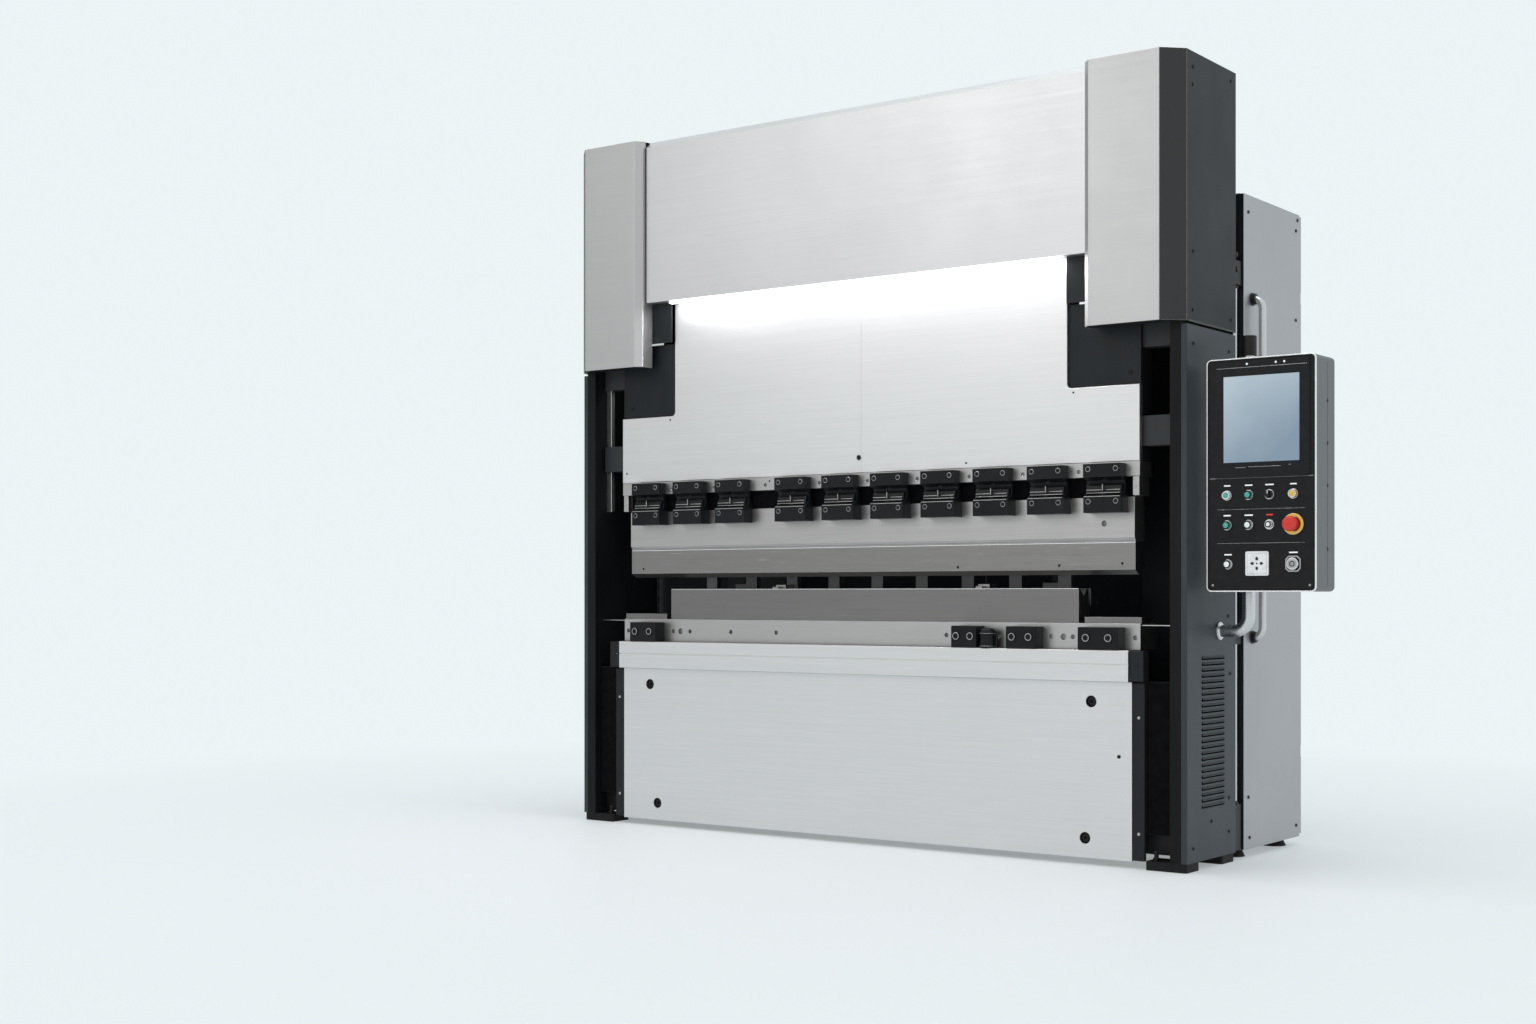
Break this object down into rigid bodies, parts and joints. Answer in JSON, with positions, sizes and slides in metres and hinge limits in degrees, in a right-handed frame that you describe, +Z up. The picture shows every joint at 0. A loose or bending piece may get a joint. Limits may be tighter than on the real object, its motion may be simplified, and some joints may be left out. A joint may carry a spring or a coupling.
{
  "type": "press brake",
  "caption": "Hydraulic sheet metal press brake with moving ram, clamped punch, die, back gauge, rear cabinets and a swivelling control pendant.",
  "frame": {"origin": "on the floor at the centre of the four anchor holes under the two side frames", "axes": "+X towards the side with the pendant, -Y the machine's front, +Z up"},
  "size_m": [3.0405, 1.048, 2.682],
  "materials": {
    "dark_paint": "satin powder coat",
    "brushed_panel": "horizontally brushed stainless sheet",
    "machined_steel": "ground and milled tool steel",
    "bevel_trim": "dark satin steel",
    "black_oxide": "black oxide steel",
    "tube_steel": "satin chromed tube",
    "cast_dark": "painted casting",
    "silver_sheet": "silver sheet",
    "foot_black": "black levelling pad",
    "lens_white": "lit diffuser",
    "panel_black": "textured black membrane",
    "screen_glass": "display glass",
    "bezel_chrome": "chromed ring",
    "button_white": "translucent cap",
    "button_green": "translucent cap",
    "button_amber": "translucent cap",
    "estop_red": "mushroom head",
    "pad_white": "white rocker pad",
    "knob_black": "moulded knob",
    "motor_blue_grey": "enamel"
  },
  "bodies": {
    "frame": {"side_frames": "dark_paint", "cross_beams": "dark_paint", "lower_beam": "dark_paint", "bed_table": "dark_paint", "bed_rail": "brushed_panel", "die_rail": "machined_steel", "dies": "machined_steel", "die_clamps": "black_oxide", "socket_screws": "black_oxide", "apron_panel": "brushed_panel", "fascia_panel": "brushed_panel", "work_light": "lens_white", "tower_fronts": "brushed_panel", "tower_corners": "bevel_trim", "tower_sides": "dark_paint", "rear_cover": "dark_paint", "side_covers": "dark_paint", "rear_cabinets": "silver_sheet", "side_tubes": "tube_steel", "post_fittings": "black_oxide", "guide_rails": "machined_steel", "cylinders": "cast_dark", "hydraulic_pipes": "tube_steel", "power_pack": "motor_blue_grey", "electrical_modules": "knob_black", "floor_feet": "foot_black", "panel_screws": "black_oxide", "gauge_rails": "cast_dark", "pendant_arm": "tube_steel"},
    "ram": {"ram_beam": "dark_paint", "ram_panel": "brushed_panel", "shoulder_plates": "dark_paint", "tool_bar": "machined_steel", "punch": "machined_steel", "clamp_bodies": "black_oxide", "clamp_screws": "black_oxide", "piston_rods": "bezel_chrome", "guide_shoes": "cast_dark"},
    "gauge_carriage": {"gauge_carriage": "cast_dark"},
    "gauge_beam": {"gauge_beam": "machined_steel"},
    "gauge_finger_left": {"gauge_finger_left": "machined_steel"},
    "gauge_finger_right": {"gauge_finger_right": "machined_steel"},
    "cabinet_door": {"cabinet_door": "silver_sheet"},
    "rear_door_left": {"rear_door_left": "dark_paint"},
    "rear_door_right": {"rear_door_right": "dark_paint"},
    "pendant": {"pendant_housing": "silver_sheet", "pendant_face": "panel_black", "pendant_screen": "screen_glass", "control_bezels": "bezel_chrome"},
    "button_white_1": {"button_white_1": "button_white"},
    "button_green_1": {"button_green_1": "button_green"},
    "button_amber": {"button_amber": "button_amber"},
    "button_green_2": {"button_green_2": "button_green"},
    "button_white_2": {"button_white_2": "button_white"},
    "button_white_small": {"button_white_small": "button_white"},
    "button_white_3": {"button_white_3": "button_white"},
    "estop_button": {"estop_button": "estop_red"},
    "selector_knob": {"selector_knob": "knob_black"},
    "key_switch": {"key_switch": "bezel_chrome"},
    "jog_pad": {"jog_pad": "pad_white"}
  },
  "joints": [
    {"name": "ram_slide", "type": "slide", "parent": "frame", "child": "ram", "axis": [0, 0, 1], "range_m": [-0.052, 0.144]},
    {"name": "gauge_depth", "type": "slide", "parent": "frame", "child": "gauge_carriage", "axis": [0, 1, 0], "range_m": [-0.005, 0.44]},
    {"name": "gauge_lift", "type": "slide", "parent": "gauge_carriage", "child": "gauge_beam", "axis": [0, 0, 1], "range_m": [-0.04, 0.06]},
    {"name": "finger_left_slide", "type": "slide", "parent": "gauge_beam", "child": "gauge_finger_left", "axis": [1, 0, 0], "range_m": [-0.25, 0.3]},
    {"name": "finger_right_slide", "type": "slide", "parent": "gauge_beam", "child": "gauge_finger_right", "axis": [1, 0, 0], "range_m": [-0.3, 0.25]},
    {"name": "cabinet_door_hinge", "type": "hinge", "parent": "frame", "child": "cabinet_door", "pos_m": [1.301, 0.779, 1.16], "axis": [0, 0, -1], "range_deg": [0, 110]},
    {"name": "rear_door_left_hinge", "type": "hinge", "parent": "frame", "child": "rear_door_left", "pos_m": [-0.917, 0.779, 1.05], "axis": [0, 0, 1], "range_deg": [0, 100]},
    {"name": "rear_door_right_hinge", "type": "hinge", "parent": "frame", "child": "rear_door_right", "pos_m": [0.917, 0.779, 1.05], "axis": [0, 0, -1], "range_deg": [0, 100]},
    {"name": "pendant_swivel", "type": "hinge", "parent": "frame", "child": "pendant", "pos_m": [1.415, 0.057, 1.2], "axis": [0, 0, 1], "range_deg": [-8, 75]},
    {"name": "button_white_1_press", "type": "slide", "parent": "pendant", "child": "button_white_1", "axis": [0, 1, 0], "range_m": [0, 0.003], "stiffness_N_per_m": 800},
    {"name": "button_green_1_press", "type": "slide", "parent": "pendant", "child": "button_green_1", "axis": [0, 1, 0], "range_m": [0, 0.003], "stiffness_N_per_m": 800},
    {"name": "button_amber_press", "type": "slide", "parent": "pendant", "child": "button_amber", "axis": [0, 1, 0], "range_m": [0, 0.003], "stiffness_N_per_m": 800},
    {"name": "button_green_2_press", "type": "slide", "parent": "pendant", "child": "button_green_2", "axis": [0, 1, 0], "range_m": [0, 0.003], "stiffness_N_per_m": 800},
    {"name": "button_white_2_press", "type": "slide", "parent": "pendant", "child": "button_white_2", "axis": [0, 1, 0], "range_m": [0, 0.003], "stiffness_N_per_m": 800},
    {"name": "button_white_small_press", "type": "slide", "parent": "pendant", "child": "button_white_small", "axis": [0, 1, 0], "range_m": [0, 0.003], "stiffness_N_per_m": 800},
    {"name": "button_white_3_press", "type": "slide", "parent": "pendant", "child": "button_white_3", "axis": [0, 1, 0], "range_m": [0, 0.003], "stiffness_N_per_m": 800},
    {"name": "jog_pad_press", "type": "slide", "parent": "pendant", "child": "jog_pad", "axis": [0, 1, 0], "range_m": [0, 0.0015], "stiffness_N_per_m": 1500},
    {"name": "estop_press", "type": "slide", "parent": "pendant", "child": "estop_button", "axis": [0, 1, 0], "range_m": [0, 0.005], "stiffness_N_per_m": 2000},
    {"name": "selector_knob_turn", "type": "hinge", "parent": "pendant", "child": "selector_knob", "pos_m": [1.575, -0.156, 1.227], "axis": [0, -1, 0], "range_deg": [-45, 45]},
    {"name": "key_switch_turn", "type": "hinge", "parent": "pendant", "child": "key_switch", "pos_m": [1.654, -0.156, 1.005], "axis": [0, -1, 0], "range_deg": [0, 90]}
  ]
}
